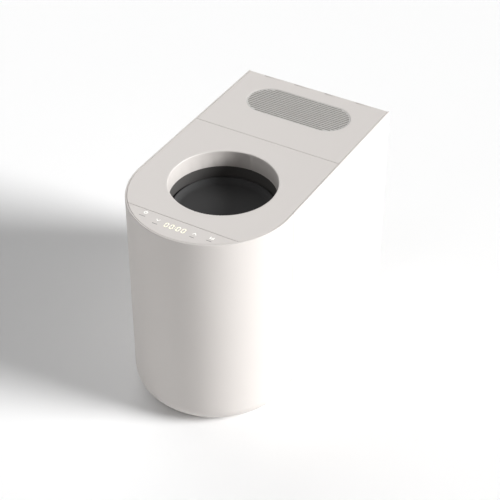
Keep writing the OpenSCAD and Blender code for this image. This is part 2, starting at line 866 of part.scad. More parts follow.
module knuckles(parity, bore) {
  for (i = [0:knuckle_n - 1]) if (i % 2 == parity) {
    x0 = -deck_w + i*(knuckle_len + air);
    difference() {
      union() {
        translate([x0, hinge_y, hinge_z]) rotate([0, 90, 0])
          cylinder(r = knuckle_r, h = knuckle_len, $fn = 48);
        if (parity == 0) block(x0, x0 + knuckle_len, hinge_y - knuckle_r - 1, hinge_y, deck_z, body_h);
        else block(x0, x0 + knuckle_len, hinge_y - knuckle_r, back_y, wall_top - 3, hinge_z);
      }
      translate([x0 - cut, hinge_y, hinge_z]) rotate([0, 90, 0])
        cylinder(r = bore, h = knuckle_len + 2*cut, $fn = 32);
    }
  }
}

module rear_cover() {
  color("whitesmoke") {
    translate([0, 0, deck_z]) linear_extrude(deck_t) difference() {
      plan(deck_w, cross_y + seam/2, back_y - 2*knuckle_r - air);
      translate([0, grille_y]) stadium(grille_w, grille_d);
    }
    knuckles(0, pin_r + run);
    translate([0, grille_y, deck_z - 1.5]) linear_extrude(1.5) difference() {
      stadium(grille_w + 8, grille_d + 8);
      stadium(grille_w - 5, grille_d - 5);
    }
    for (y = [cross_y + 8, grille_y + grille_d/2 + 12])
      block(-deck_w + 12, deck_w - 12, y, y + 2.5, deck_z - 3, deck_z);
  }
}

// Slotted plate: straight slots from side to side, carried by low bars across their underside
module exhaust_grille() {
  half = (grille_w - grille_d)/2;
  edge = grille_d/2 - 2.2;
  rows = floor((edge - grille_slot)/grille_pitch);
  color("darkgray") translate([0, grille_y, deck_z]) {
    difference() {
      linear_extrude(deck_t - 0.4) stadium(grille_w, grille_d);
      for (j = [-rows:rows]) {
        y = j*grille_pitch;
        reach = half + sqrt(edge^2 - (abs(y) + grille_slot/2)^2);
        block(-reach, reach, y - grille_slot/2, y + grille_slot/2, -cut, deck_t + cut);
      }
    }
    for (x = [-1:1]) block(x*half - 0.8, x*half + 0.8, -edge, edge, 0, 1.2);
  }
}

module cover_hinge_pin() {
  color("gainsboro") translate([-deck_w, hinge_y, hinge_z]) rotate([0, 90, 0])
    cylinder(r = pin_r, h = 2*deck_w, $fn = 32);
}

module filter_housing() {
  color("gray") difference() {
    union() {
      block(-housing_w, housing_w, grille_y - housing_d, grille_y + housing_d, housing_low, housing_top);
      block(-frame_x, frame_x, grille_y - 20, grille_y + 20, housing_top - 3, housing_top);
    }
    block(-housing_w + housing_t, housing_w - housing_t, grille_y - housing_d + housing_t,
      grille_y + housing_d - housing_t, housing_low + housing_t, housing_top + cut);
    rod(0, grille_y, housing_low - cut, housing_low + housing_t + cut, fan_bore);
  }
}

module carbon_filter() {
  w = housing_w - housing_t - air;
  d = housing_d - housing_t - air;
  low = housing_top - 30;
  color([0.15, 0.15, 0.15]) difference() {
    block(-w, w, grille_y - d, grille_y + d, low, housing_top - 4);
    for (x = [-4:4]) block(x*w/5 - 2, x*w/5 + 2, grille_y - d + 4, grille_y + d - 4,
      housing_top - 8, housing_top);
  }
  color([0.3, 0.3, 0.3]) both_sides() block(w - 3, w, grille_y - d, grille_y + d,
    housing_low + housing_t, low);
}

module fan_frame() {
  color([0.15, 0.15, 0.15]) difference() {
    block(-fan_w/2, fan_w/2, grille_y - fan_w/2 + 1, grille_y + fan_w/2 - 1, fan_low, housing_low);
    rod(0, grille_y, fan_low + 3, housing_low + cut, fan_bore);
    ring(0, grille_y, fan_low - cut, fan_low + 3 + cut, fan_bore, 20);
    rod(0, grille_y, fan_low - cut, fan_low + 3 + cut, fan_shaft_r + run);
  }
  color([0.15, 0.15, 0.15]) for (a = [45:90:315]) translate([0, grille_y, fan_low]) rotate([0, 0, a])
    block(18, fan_bore + 1, -3, 3, 0, 3);
}

module fan_rotor() {
  r = fan_bore - 1.5;
  color([0.2, 0.2, 0.2]) translate([0, grille_y, 0]) {
    rod(0, 0, fan_low + 3.5, housing_low - 2, 18);
    rod(0, 0, fan_low + 0.5, fan_low + 4, fan_shaft_r);
    intersection() {
      union() for (a = [0:6]) rotate([0, 0, a*360/7]) translate([0, 0, fan_low + 13]) rotate([35, 0, 0])
        block(16, r + 3, -13, 13, -1, 1);
      rod(0, 0, fan_low + 4, housing_low - 2, r);
    }
  }
}

// ---------- body and back ----------

// Solid section of the body across its width, with rounded lower edges
module body_section(w, r, low, high) {
  translate([-w, round_z]) square([2*w, high - round_z]);
  translate([-flat_w, low]) square([2*flat_w, round_z - low]);
  both_sides() translate([flat_w, round_z]) edge_quarter(r);
}

// Rounded lower rear corner: the section across meets the same curve along the depth
module rear_corner(r, low) {
  intersection() {
    translate([0, back_y + cut, 0]) rotate([90, 0, 0]) linear_extrude(base_round + 2*cut)
      body_section(flat_w + r, r, low, round_z + cut);
    translate([-hw, back_y - base_round, round_z]) rotate([90, 0, 90])
      linear_extrude(body_w) union() {
        edge_quarter(r);
        translate([-2*cut, -r]) square([2*cut, r]);
        translate([-2*cut, 0]) square([r + 2*cut, cut]);
      }
  }
}

module body_shell() {
  y0 = side_y + seam/2;
  y1 = back_y - base_round;
  color("whitesmoke") {
    both_sides() translate([0, y1, 0]) rotate([90, 0, 0]) linear_extrude(y1 - y0) wall_section();
    both_sides() difference() {
      translate([0, back_y, 0]) rotate([90, 0, 0]) linear_extrude(base_round) wall_section();
      block(0, hw + cut, y1 - cut, back_y + cut, 0, round_z);
    }
    difference() {
      intersection() {
        rear_corner(base_round, floor_z);
        block(-hw, hw, y1, back_y, floor_z, round_z);
      }
      rear_corner(base_round - shell_t, floor_z + shell_t);
    }
    difference() {
      block(-in_w, in_w, back_y - shell_t, back_y, round_z, wall_top);
      block(-panel_w, panel_w, back_y - shell_t - cut, back_y + cut, panel_low, panel_high);
    }
    difference() {
      block(-panel_w - 6, panel_w + 6, back_y - shell_t - flange_y, back_y - shell_t, panel_low - 6,
        panel_high + 4);
      block(-panel_w + 10, panel_w - 10, back_y - shell_t - 3, back_y, panel_low + 7, panel_high - 7);
      back_screw_rods(2*flange_y + cut);
    }
    knuckles(1, pin_r);
  }
}

back_screw_at = [for (z = [panel_low + 3.2, (panel_low + panel_high)/2, panel_high - 3.2])
  [panel_w - 6.2, z]];

// The screws' shanks, from the panel's face through it and on by a depth
module back_screw_rods(depth) {
  both_sides() for (p = back_screw_at) translate([p[0], back_y - panel_inset, p[1]])
    rotate([90, 0, 0]) cylinder(r = screw_shank_r, h = shell_t - panel_inset + depth);
}

module back_panel() {
  y0 = back_y - shell_t;
  color("gainsboro") difference() {
    block(-panel_w + 0.5, panel_w - 0.5, y0, back_y - panel_inset, panel_low + 0.5, panel_high - 0.5);
    block(recess_x - recess_w/2, recess_x + recess_w/2, y0 - cut, back_y + cut,
      recess_z - recess_h/2, recess_z + recess_h/2);
    for (i = [0:8]) for (s = [-1, 1]) translate([s*62, y0 - cut, mid_top + 20 + i*9])
      rotate([-90, 0, 0]) linear_extrude(shell_t + 2*cut) stadium(80, 3.4);
    for (i = [0:5]) translate([62, y0 - cut, recess_z - 22 + i*9])
      rotate([-90, 0, 0]) linear_extrude(shell_t + 2*cut) stadium(80, 3.4);
    translate([0, cut, 0]) back_screw_rods(2*cut);
  }
}

module back_screws() {
  color("gray") back_screw_rods(flange_y);
}

module inlet_recess() {
  w = recess_w/2;
  h = recess_h/2;
  color("dimgray") difference() {
    block(recess_x - w, recess_x + w, back_y - recess_d - 2, back_y - panel_inset, recess_z - h,
      recess_z + h);
    block(recess_x - w + 1.5, recess_x + w - 1.5, back_y - recess_d, back_y + cut,
      recess_z - h + 1.5, recess_z + h - 1.5);
    block(inlet_x - inlet_w/2, inlet_x + inlet_w/2, back_y - recess_d - 3, back_y,
      recess_z - inlet_h/2, recess_z + inlet_h/2);
    block(rocker_x - rocker_w/2 - air, rocker_x + rocker_w/2 + air, back_y - recess_d - 3, back_y,
      recess_z - rocker_r - air, recess_z + rocker_r + air);
  }
}

module power_inlet() {
  y1 = back_y - recess_d + 3;
  color([0.12, 0.12, 0.12]) difference() {
    block(inlet_x - inlet_w/2, inlet_x + inlet_w/2, y1 - 24, y1, recess_z - inlet_h/2,
      recess_z + inlet_h/2);
    block(inlet_x - 11.5, inlet_x + 11.5, y1 - 17, y1 + cut, recess_z - 7.5, recess_z + 7.5);
  }
  color("gainsboro") for (p = [[-7, -1.5], [0, 2], [7, -1.5]])
    block(inlet_x + p[0] - 1, inlet_x + p[0] + 1, y1 - 17, y1 - 3, recess_z + p[1] - 2, recess_z + p[1] + 2);
}

module rocker_switch() {
  color([0.1, 0.1, 0.1]) translate([rocker_x - rocker_w/2, rocker_y, recess_z])
    rotate([0, 90, 0]) linear_extrude(rocker_w) difference() {
      circle(rocker_r);
      translate([-2*rocker_r, -3*rocker_r]) square([4*rocker_r, 2*rocker_r + 1]);
      for (s = [-1, 1]) rotate(s*9 + 9) translate([s > 0 ? 0 : -2*rocker_r, 4.2])
        square([2*rocker_r, rocker_r]);
    }
}

module power_supply() {
  color("silver") {
    block(-98, -12, back_y - 92, back_y - 38, base_top, base_top + 48);
    block(-92, -72, back_y - 97, back_y - 92, base_top + 8, base_top + 26);
  }
}

module control_board() {
  y = back_y - 42;
  color("darkgreen") {
    block(15, 108, y, y + 1.6, base_top + 14, base_top + 110);
    for (x = [23, 93]) block(x - 3, x + 3, y - 2, y + 4, base_top, base_top + 20);
    block(30, 60, y - 14, y, base_top + 60, base_top + 84);
    block(68, 96, y - 10, y, base_top + 30, base_top + 52);
    rod(82, y - 8, base_top + 62, base_top + 86, 9);
  }
}

base_plate();
rubber_feet();
base_screws();
body_shell();
back_panel();
back_screws();
side_frame_left();
side_frame_right();
mid_deck();
top_frame();
top_deck();
control_panel();
display_digits();
touch_symbols();
symbol_labels();
display_board();
press_chute();
guide_rods();
screw_bearings();
drive_belts();
motor_bracket();
gearbox();
drive_motor();
output_shaft();
motor_pulley();
power_screw_left();
power_screw_right();
screw_pulley_left();
screw_pulley_right();
ram_yoke();
screw_nuts();
guide_bushes();
shaft_bearings();
tilt_motor();
tilt_worm();
tilt_shaft();
worm_wheel();
plate_carrier();
press_plate();
slide_outers();
slide_middles();
slide_inners();
drawer_front();
drawer_tray();
waste_bin();
magnet_catches();
strike_plates();
limit_switches();
rear_cover();
exhaust_grille();
cover_hinge_pin();
filter_housing();
carbon_filter();
fan_frame();
fan_rotor();
power_supply();
control_board();
inlet_recess();
power_inlet();
rocker_switch();
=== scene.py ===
"""Looks of a kitchen waste compactor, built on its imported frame. Metres, +Z up, the round front faces -Y."""

import json
import math

import bmesh
import bpy
from mathutils import Matrix, Vector


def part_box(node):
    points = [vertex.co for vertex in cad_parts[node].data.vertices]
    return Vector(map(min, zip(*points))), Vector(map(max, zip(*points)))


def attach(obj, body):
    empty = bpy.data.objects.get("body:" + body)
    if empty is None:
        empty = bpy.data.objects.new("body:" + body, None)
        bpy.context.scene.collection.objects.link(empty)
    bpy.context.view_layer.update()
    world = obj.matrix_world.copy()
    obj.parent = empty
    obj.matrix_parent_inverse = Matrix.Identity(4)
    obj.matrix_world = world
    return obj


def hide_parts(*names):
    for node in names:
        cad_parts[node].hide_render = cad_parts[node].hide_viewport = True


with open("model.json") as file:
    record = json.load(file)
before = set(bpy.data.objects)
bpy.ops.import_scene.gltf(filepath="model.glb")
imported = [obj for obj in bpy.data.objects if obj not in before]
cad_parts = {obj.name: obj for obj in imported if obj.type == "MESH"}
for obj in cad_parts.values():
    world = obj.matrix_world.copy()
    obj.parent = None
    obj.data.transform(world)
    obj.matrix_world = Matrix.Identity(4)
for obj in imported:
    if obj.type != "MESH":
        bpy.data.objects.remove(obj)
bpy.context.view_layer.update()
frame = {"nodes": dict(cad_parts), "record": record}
nodes = frame["nodes"]
MM = 0.001


# ---------- shader maths ----------


class Field:
    """One shader socket. Python arithmetic on it adds Math nodes, or Vector Math nodes for a vector."""

    def __init__(self, finish, socket):
        self.finish = finish
        self.socket = socket

    def maths(self, operation, *inputs):
        kind = "ShaderNodeMath"
        if self.socket.type == "VECTOR":
            kind = "ShaderNodeVectorMath"
            inputs = [(i,) * 3 if isinstance(i, (int, float)) else i for i in inputs]
        sockets = dict(enumerate(inputs))
        return self.finish.node(kind, {"operation": operation}, sockets)

    def __add__(self, other):
        return self.maths("ADD", self, other)

    def __radd__(self, other):
        return self.maths("ADD", other, self)

    def __sub__(self, other):
        return self.maths("SUBTRACT", self, other)

    def __rsub__(self, other):
        return self.maths("SUBTRACT", other, self)

    def __mul__(self, other):
        return self.maths("MULTIPLY", self, other)

    def __rmul__(self, other):
        return self.maths("MULTIPLY", other, self)

    def __gt__(self, other):
        return self.maths("GREATER_THAN", self, other)

    def fraction(self):
        """What is left over from the whole number below."""
        return self.maths("FRACT", self)

    def axis(self, name):
        """One component of a vector."""
        parts = self.finish.node("ShaderNodeSeparateXYZ", {}, {0: self}, raw=True)
        return Field(self.finish, parts.outputs[name])


class Finish:
    """A material under construction: nodes come from node(), and look() sets the shader."""

    def __init__(self, name):
        self.material = bpy.data.materials.new(name)
        self.material.use_nodes = True
        self.tree = self.material.node_tree
        self.tree.nodes.clear()
        self.output = self.tree.nodes.new("ShaderNodeOutputMaterial")
        self.shader = self.tree.nodes.new("ShaderNodeBsdfPrincipled")
        self.tree.links.new(self.shader.outputs["BSDF"], self.output.inputs["Surface"])

    def node(self, kind, settings, inputs, output=0, raw=False):
        """Adds a node: its settings first, then the values or links of its sockets."""
        made = self.tree.nodes.new(kind)
        for name, value in settings.items():
            setattr(made, name, value)
        for key, value in inputs.items():
            self.feed(made.inputs[key], value)
        return made if raw else Field(self, made.outputs[output])

    def feed(self, socket, value):
        """Links a field to a socket, or sets the socket to a constant."""
        if isinstance(value, Field):
            self.tree.links.new(value.socket, socket)
        elif socket.type == "RGBA" and len(value) == 3:
            socket.default_value = (*value, 1)
        else:
            socket.default_value = value

    def place(self):
        """Where a point lies on the unmoved object, in metres."""
        return self.node("ShaderNodeTexCoord", {}, {}, output="Object")

    def noise(self, size, detail=3.0, roughness=0.55, stretch=(1, 1, 1)):
        """Smooth noise from 0 to 1 whose blobs are about size metres across."""
        scaled = self.place() * tuple(1 / s for s in stretch)
        settings = {"noise_dimensions": "3D"}
        inputs = {"Vector": scaled, "Scale": 1 / size, "Detail": detail, "Roughness": roughness}
        return self.node("ShaderNodeTexNoise", settings, inputs, output="Fac")

    def cells(self, size, output="Distance"):
        """Irregular cells about size metres across."""
        inputs = {"Vector": self.place(), "Scale": 1 / size}
        return self.node("ShaderNodeTexVoronoi", {"feature": "F1"}, inputs, output=output)

    def mix(self, factor, first, second):
        """A colour between two."""
        return self.node("ShaderNodeMix", {"data_type": "RGBA"}, {0: factor, 6: first, 7: second}, output=2)

    def shade(self, colour, share, pattern):
        """A colour made up to share darker and lighter by a pattern from 0 to 1."""
        darker = tuple(c * (1 - share) for c in colour)
        lighter = tuple(min(1, c * (1 + share)) for c in colour)
        return self.mix(pattern, darker, lighter)

    def bump(self, height, depth):
        """A normal from a height pattern; depth is in metres."""
        inputs = {"Height": height, "Strength": 1.0, "Distance": depth}
        return self.node("ShaderNodeBump", {}, inputs, output="Normal")

    def look(self, **sockets):
        """Feeds the shader's sockets, whose names have _ for a space, and gives the material."""
        for name, value in sockets.items():
            self.feed(self.shader.inputs[name.replace("_", " ")], value)
        return self.material


# ---------- finishes ----------


def moulded(name, colour, grain=0.35, roughness=0.5, mottle=0.012, shine=0.5):
    """Moulded plastic: fine spark-eroded grain, slight flow marks and a satin skin."""
    finish = Finish(name)
    cloud = finish.noise(0.11, detail=4)
    pore = finish.noise(grain * MM, detail=2)
    flow = finish.noise(0.02, stretch=(1, 1, 6))
    return finish.look(
        Base_Color=finish.shade(colour, mottle, cloud * 0.7 + pore * 0.3),
        Roughness=roughness - 0.06 + cloud * 0.07 + flow * 0.05,
        Specular_IOR_Level=shine,
        Normal=finish.bump(pore + flow * 0.25, 0.03 * MM),
    )


def brushed(name, colour, roughness, along):
    """Rolled or ground metal with fine lines along one direction and faint handling marks."""
    finish = Finish(name)
    line = finish.noise(0.7 * MM, detail=4, stretch=along)
    stain = finish.noise(0.03, detail=5, roughness=0.65)
    return finish.look(
        Base_Color=finish.shade(colour, 0.10, line * 0.55 + stain * 0.45),
        Metallic=1.0,
        Roughness=roughness - 0.08 + line * 0.12 + stain * 0.14,
        Normal=finish.bump(line, 0.006 * MM),
    )


def zinc_sheet(name, colour):
    """Galvanised sheet: flat crystals a few millimetres across, each a slightly different grey."""
    finish = Finish(name)
    crystal = finish.cells(6 * MM, output="Color").axis("X")
    line = finish.noise(0.6 * MM, detail=3, stretch=(1, 30, 1))
    return finish.look(
        Base_Color=finish.shade(colour, 0.13, crystal * 0.75 + line * 0.25),
        Metallic=1.0,
        Roughness=0.33 + crystal * 0.15,
        Normal=finish.bump(line * 0.4 + crystal * 0.6, 0.01 * MM),
    )


def cast(name, colour):
    """Sand-cast iron under primer: pitted skin with paler high spots."""
    finish = Finish(name)
    pit = finish.noise(1.6 * MM, detail=5, roughness=0.7)
    patch = finish.noise(0.025, detail=3)
    return finish.look(
        Base_Color=finish.shade(colour, 0.25, pit * 0.5 + patch * 0.5),
        Metallic=0.35,
        Roughness=0.55 + pit * 0.2,
        Normal=finish.bump(pit, 0.12 * MM),
    )


def powder(name, colour, roughness=0.6, orange_peel=0.9, shine=0.5):
    """Powder coat: orange-peel surface with small pin-point variation."""
    finish = Finish(name)
    peel = finish.noise(orange_peel * MM, detail=2)
    patch = finish.noise(0.05, detail=4)
    return finish.look(
        Base_Color=finish.shade(colour, 0.07, peel * 0.4 + patch * 0.6),
        Roughness=roughness - 0.05 + patch * 0.1,
        Specular_IOR_Level=shine,
        Normal=finish.bump(peel, 0.035 * MM),
    )


def rubber(name, colour, roughness=0.75):
    """Moulded rubber, paler where dust has settled."""
    finish = Finish(name)
    skin = finish.noise(0.5 * MM, detail=3)
    dust = finish.noise(0.02, detail=5)
    return finish.look(
        Base_Color=finish.shade(colour, 0.35, dust),
        Roughness=roughness - 0.1 + skin * 0.2,
        Normal=finish.bump(skin, 0.03 * MM),
    )


def sintered(name, colour):
    """Oil-filled bronze: fine pores and a mottled tarnish."""
    finish = Finish(name)
    pore = finish.noise(0.5 * MM, detail=3)
    tarnish = finish.noise(0.008, detail=5, roughness=0.7)
    return finish.look(
        Base_Color=finish.mix(tarnish, colour, tuple(c * 0.55 for c in colour)),
        Metallic=0.9,
        Roughness=0.3 + tarnish * 0.25,
        Normal=finish.bump(pore, 0.02 * MM),
    )


def felt(name, colour):
    """Carbon felt: tangled fibres with grains of charcoal between them."""
    finish = Finish(name)
    fibre = finish.noise(0.5 * MM, detail=5, roughness=0.8, stretch=(3, 1, 1))
    grains = finish.cells(1.3 * MM)
    return finish.look(
        Base_Color=finish.shade(colour, 0.6, fibre * 0.6 + grains * 0.4),
        Roughness=0.85 + fibre * 0.15,
        Normal=finish.bump(fibre * 0.6 + grains * 0.4, 0.35 * MM),
    )


def lacquered_board(name, colour):
    """Circuit board: solder resist over straight copper tracks."""
    finish = Finish(name)
    x = finish.place().axis("X")
    z = finish.place().axis("Z") + finish.place().axis("Y")
    lane = (x * 900).fraction() > 0.6
    row = (z * 400).fraction() > 0.45
    patch = finish.noise(6 * MM, detail=0) > 0.5
    track = lane * patch + row * (1 - patch)
    return finish.look(
        Base_Color=finish.mix(track * 0.7, colour, (0.05, 0.28, 0.12)),
        Roughness=0.28 + track * 0.1,
        Normal=finish.bump(track, 0.04 * MM),
    )


def lit_window(name, colour, strength):
    """Light guide flush in the panel, its glow a little uneven across it."""
    finish = Finish(name)
    glow = finish.noise(2.5 * MM, detail=1)
    return finish.look(
        Base_Color=finish.shade(colour, 0.04, glow),
        Roughness=0.25 + glow * 0.1,
        Emission_Color=finish.shade(colour, 0.06, glow),
        Emission_Strength=strength,
    )


def finishes():
    """The material of every slot."""
    white = (0.662, 0.628, 0.603)
    return {
        "shell_white": moulded("warm_white_shell", white, roughness=0.46),
        "grille_grey": moulded("grille_grey", (0.55, 0.535, 0.515), roughness=0.6, mottle=0.03),
        "panel_grey": powder("rear_panel_coat", (0.60, 0.585, 0.565), roughness=0.5),
        "press_dark": powder("press_plate_coat", (0.066, 0.066, 0.067), roughness=0.95, shine=0.08),
        "chute_dark": moulded("chute_dark", (0.072, 0.069, 0.067), roughness=0.75, mottle=0.06, shine=0.2),
        "frame_steel": zinc_sheet("zinc_sheet", (0.60, 0.61, 0.62)),
        "slide_zinc": brushed("bright_zinc", (0.68, 0.68, 0.69), roughness=0.28, along=(1, 60, 1)),
        "ground_steel": brushed("ground_steel", (0.58, 0.58, 0.59), roughness=0.22, along=(1, 1, 0.15)),
        "screw_steel": brushed("screw_head_steel", (0.45, 0.45, 0.46), roughness=0.34, along=(1, 1, 1)),
        "bearing_steel": brushed("bearing_steel", (0.50, 0.50, 0.52), roughness=0.2, along=(1, 1, 0.2)),
        "bronze": sintered("sintered_bronze", (0.62, 0.43, 0.20)),
        "cast_grey": cast("cast_primer_grey", (0.16, 0.17, 0.19)),
        "gearbox_metal": cast("die_cast_gearbox", (0.42, 0.43, 0.44)),
        "motor_metal": powder("motor_enamel", (0.10, 0.105, 0.11), roughness=0.4, orange_peel=0.7),
        "pulley_grey": moulded("filled_pulley_plastic", (0.10, 0.10, 0.105), roughness=0.55, mottle=0.12),
        "belt_rubber": rubber("belt_rubber", (0.018, 0.018, 0.018), roughness=0.6),
        "foot_rubber": rubber("foot_rubber", (0.035, 0.035, 0.035)),
        "black_plastic": moulded("black_moulding", (0.022, 0.022, 0.023), roughness=0.45, mottle=0.15),
        "rocker_black": moulded("rocker_black", (0.016, 0.016, 0.016), roughness=0.25, mottle=0.1),
        "housing_grey": moulded("filter_housing_grey", (0.25, 0.25, 0.255), roughness=0.55, mottle=0.05),
        "bin_grey": moulded("bin_grey", (0.20, 0.205, 0.21), grain=0.5, roughness=0.5, mottle=0.05),
        "carbon": felt("carbon_felt", (0.022, 0.022, 0.022)),
        "board_green": lacquered_board("green_board", (0.012, 0.13, 0.05)),
        "label_grey": moulded("printed_grey", (0.12, 0.12, 0.12), roughness=0.6, mottle=0.1),
        "display_light": lit_window("lit_digits", (0.98, 0.93, 0.72), 0.55),
        "symbol_light": lit_window("lit_symbols", (0.96, 0.95, 0.92), 0.4),
    }


def dress(materials):
    """Gives every carried-over node the finish of its slot."""
    for entry in frame["record"]["subparts"]:
        piece = nodes[entry["node"]]
        piece.data.materials.clear()
        piece.data.materials.append(materials[entry["material_slot"]])


# ---------- softened edges ----------


def soften(names, width, segments=2):
    """Small rounded edges on pieces that are moulded, cast or folded."""
    for name in names:
        piece = nodes[name]
        weld = piece.modifiers.new("join_corners", "WELD")
        weld.merge_threshold = 0.002 * MM
        bevel = piece.modifiers.new("soft_edges", "BEVEL")
        bevel.width = width
        bevel.segments = segments
        bevel.limit_method = "ANGLE"
        bevel.angle_limit = math.radians(35)
        bevel.harden_normals = True


def soft_edges():
    """Mouldings get a fine broken edge, castings a larger one and folded sheet a smaller one."""
    covers = ("top_deck", "control_panel", "rear_cover", "drawer_front", "body_shell")
    mouldings = ("filter_housing", "waste_bin", "inlet_recess", "rocker_switch", "power_inlet")
    castings = ("gearbox", "ram_yoke", "plate_carrier", "power_supply", "fan_frame")
    sheets = ("base_plate", "back_panel", "top_frame", "mid_deck", "side_frame_left", "side_frame_right")
    soften(covers, 0.3 * MM)
    soften(mouldings, 0.4 * MM)
    soften(castings, 0.8 * MM, segments=3)
    soften(sheets, 0.25 * MM)


# ---------- made pieces ----------


def piece(name, slot, body, mesh_maker, stands_for=(), smooth=45):
    """Builds one piece with a bmesh function, gives it the finish of its slot, parents it to its body and
    hides the CAD parts that it stands for.
    """
    shape = bmesh.new()
    mesh_maker(shape)
    bmesh.ops.recalc_face_normals(shape, faces=shape.faces)
    mesh = bpy.data.meshes.new(name)
    shape.to_mesh(mesh)
    shape.free()
    mesh.materials.append(palette[slot])
    thing = bpy.data.objects.new(name, mesh)
    bpy.context.scene.collection.objects.link(thing)
    mesh.shade_smooth()
    mesh.set_sharp_from_angle(angle=math.radians(smooth))
    if stands_for:
        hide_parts(*stands_for)
    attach(thing, body)


def ring_of(shape, points):
    """Adds the points of one ring to a shape."""
    return [shape.verts.new(p) for p in points]


def middle_of(low, high):
    """The centre of a box in plan."""
    return (low[0] + high[0]) / 2, (low[1] + high[1]) / 2


def skin(shape, rings, loop=False):
    """Joins rings of equal count into a tube, with flat ends or run round into itself."""
    count = len(rings[0])
    pairs = list(zip(rings, rings[1:]))
    if loop:
        pairs.append((rings[-1], rings[0]))
    for low, high in pairs:
        for i in range(count):
            j = (i + 1) % count
            shape.faces.new((low[i], low[j], high[j], high[i]))
    if not loop:
        shape.faces.new(rings[0][::-1])
        shape.faces.new(rings[-1])


def threaded_rod(shape, centre, span, thread_span, outer, depth, pitch, starts, shaft=None):
    """Rod along Z with a trapezoidal thread between two heights; the thread runs out at both of its ends.

    The crest's half width and the flank are shares of the pitch. Beyond the thread the rod is as thick as
    the thread's crest, or as thick as shaft where that is given.
    """
    around = 36
    rings_per_pitch = 6
    crest_half, flank = 0.2, 1 / 6
    thread_low, thread_high = thread_span
    length = thread_high - thread_low
    count = int(round(length / (pitch / rings_per_pitch)))
    heights = [span[0], thread_low]
    heights += [thread_low + length * (i + 1) / count for i in range(count)]
    heights += [span[1]]
    plain = outer if shaft is None else shaft
    rings = []
    for z in heights:
        run_out = max(0.0, min(1.0, (z - thread_low) / pitch, (thread_high - z) / pitch))
        points = []
        for i in range(around):
            turn = i / around
            wave = ((z - thread_low) / pitch - turn * starts) % 1.0
            crest = min(1.0, max(0.0, 1 - (abs(wave - 0.5) - crest_half) / flank))
            radius = plain + (outer - depth * (1 - crest) - plain) * run_out
            angle = math.tau * turn
            x, y = centre[0] + radius * math.cos(angle), centre[1] + radius * math.sin(angle)
            points.append((x, y, z))
        rings.append(ring_of(shape, points))
    skin(shape, rings)


def power_screw(side):
    """Two-start screw that lifts the ram 6 mm in a turn, with a plain journal at each end."""
    node = "power_screw_" + side
    low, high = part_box(node)
    lower_journal, upper_journal = 34 * MM, 12 * MM
    thread_span = (low[2] + lower_journal, high[2] - upper_journal)
    outer = (high[0] - low[0]) / 2
    depth, pitch, starts = 1 * MM, 3 * MM, 2

    def shape_it(shape):
        span = (low[2], high[2])
        threaded_rod(shape, middle_of(low, high), span, thread_span, outer, depth, pitch, starts)

    piece("threaded_" + node, "ground_steel", side + "_screw", shape_it, stands_for=(node,), smooth=35)


def tilt_worm():
    """Single-start worm whose crest meets a gap between two teeth of the wheel."""
    low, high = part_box("tilt_worm")
    wheel_low, wheel_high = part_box("worm_wheel")
    crest_r, journal_r = 5.5 * MM, 2.5 * MM
    depth, pitch, starts = 1.5 * MM, 3.1 * MM, 1
    turns, turns_below_wheel = 9.5, 5.25
    thread_low = (wheel_low[2] + wheel_high[2]) / 2 - turns_below_wheel * pitch
    thread_span = (thread_low, thread_low + turns * pitch)

    def shape_it(shape):
        span = (low[2], high[2])
        threaded_rod(shape, middle_of(low, high), span, thread_span, crest_r, depth, pitch, starts, journal_r)

    piece("threaded_worm", "ground_steel", "worm", shape_it, stands_for=("tilt_worm",))


def box_into(shape, low, high):
    """Adds a box between two corners."""
    made = bmesh.ops.create_cube(shape, size=1)
    for vert in made["verts"]:
        vert.co = [a + (b - a) * (c + 0.5) for a, b, c in zip(low, high, vert.co)]


def pleated_filter():
    """Carbon filter: a frame with two feet round folded felt, and glue beads that hold the folds apart."""
    low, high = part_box("carbon_filter")
    wall = 3 * MM
    frame_top, frame_bottom = high[2] - 1 * MM, high[2] - 30 * MM
    fold_low, fold_high = high[2] - 25 * MM, high[2] - 2.5 * MM
    folds = 27
    felt_t = 1.6 * MM
    bead_w, bead_h, bead_sink, bead_wave = 1.3 * MM, 0.9 * MM, 0.4 * MM, 0.6 * MM
    left, right = low[0] + wall, high[0] - wall
    front, back = low[1] + wall, high[1] - wall

    def frame_shape(shape):
        for x0, x1 in ((low[0], left), (right, high[0])):
            box_into(shape, (x0, low[1], low[2]), (x1, high[1], frame_top))
        for y0, y1 in ((low[1], front), (back, high[1])):
            box_into(shape, (left, y0, frame_bottom), (right, y1, frame_top))

    def felt_shape(shape):
        creases = 2 * folds
        rings = []
        for i in range(creases + 1):
            x = left + (right - left) * i / creases
            z = fold_high if i % 2 else fold_low
            section = ((x, front, z), (x, back, z), (x, back, z - felt_t), (x, front, z - felt_t))
            rings.append(ring_of(shape, section))
        skin(shape, rings)

    def bead_shape(shape):
        steps = 8 * folds
        corners = [math.tau * k / 8 for k in range(8)]
        for share in (0.25, 0.5, 0.75):
            y = low[1] + (high[1] - low[1]) * share
            rings = []
            for i in range(steps + 1):
                x = left + (right - left) * i / steps
                z = fold_high - bead_sink - bead_wave * math.cos(math.tau * folds * i / steps)
                section = [(x, y + bead_w * math.cos(a), z + bead_h * math.sin(a)) for a in corners]
                rings.append(ring_of(shape, section))
            skin(shape, rings)

    piece("filter_frame", "black_plastic", "chassis", frame_shape, stands_for=("carbon_filter",))
    piece("filter_folds", "carbon", "chassis", felt_shape, stands_for=("carbon_filter",), smooth=20)
    piece("filter_glue_beads", "label_grey", "chassis", bead_shape, stands_for=("carbon_filter",))


